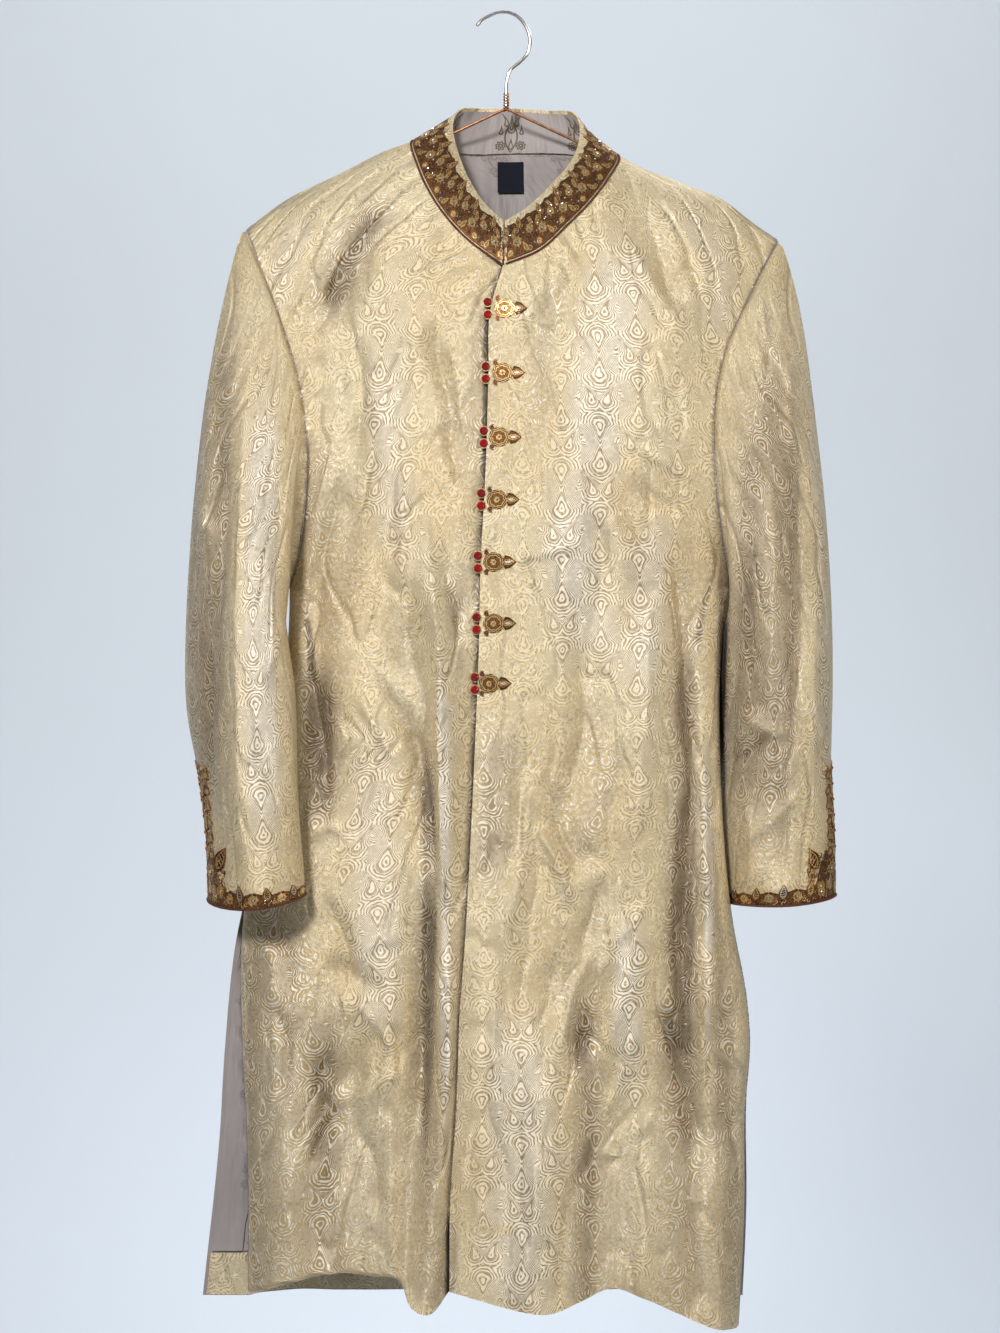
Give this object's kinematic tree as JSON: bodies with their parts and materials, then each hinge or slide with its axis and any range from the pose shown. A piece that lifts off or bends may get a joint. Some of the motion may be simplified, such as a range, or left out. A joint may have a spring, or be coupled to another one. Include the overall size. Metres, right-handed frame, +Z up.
{
  "type": "sherwani coat on a wire hanger",
  "caption": "Long stand-collar brocade coat with a beaded collar, cuffs and front motifs, stone buttons and open side slits, hanging flat on a thin wire hanger.",
  "frame": {"origin": "inside top of the hanger's hook, where it is held", "axes": "+Z up, +X to the wearer's left, the front of the coat faces -Y"},
  "size_m": [0.6033, 0.1551, 1.2111],
  "materials": {
    "brocade": "gold and cream jacquard with a soft metallic sheen",
    "beadwork": "copper and gold coiled wire embroidery with beads",
    "copper_cord": "twisted copper thread",
    "red_stone": "faceted, glossy",
    "lining": "mauve-grey satin",
    "label": "matt black woven tape",
    "chrome": "polished",
    "copper": "copper-plated wire, polished"
  },
  "bodies": {
    "root": {"back_hem_facing": "brocade", "back_left_lower": "brocade", "back_left_upper": "brocade", "back_lining": "lining", "back_right_lower": "brocade", "back_right_upper": "brocade", "button_1": "red_stone", "button_2": "red_stone", "button_3": "red_stone", "button_4": "red_stone", "button_5": "red_stone", "button_6": "red_stone", "button_7": "red_stone", "collar_beadwork_left": "beadwork", "collar_beadwork_right": "beadwork", "collar_cord_left": "copper_cord", "collar_cord_right": "copper_cord", "collar_left": "brocade", "collar_lining": "lining", "collar_right": "brocade", "cuff_beadwork_left": "beadwork", "cuff_beadwork_right": "beadwork", "cuff_cord_left": "copper_cord", "cuff_cord_right": "copper_cord", "cuff_strip_left": "beadwork", "cuff_strip_right": "beadwork", "front_left_overlap_lower": "brocade", "front_left_overlap_middle": "brocade", "front_left_overlap_upper": "brocade", "front_right_underlap_lower": "brocade", "front_right_underlap_middle": "brocade", "front_right_underlap_upper": "brocade", "hanger_hook": "chrome", "hanger_wire": "copper", "motif_1": "beadwork", "motif_2": "beadwork", "motif_3": "beadwork", "motif_4": "beadwork", "motif_5": "beadwork", "motif_6": "beadwork", "motif_7": "beadwork", "neck_label": "label", "sleeve_left_back": "brocade", "sleeve_left_front": "brocade", "sleeve_right_back": "brocade", "sleeve_right_front": "brocade", "slit_lining_right": "lining"}
  },
  "joints": []
}
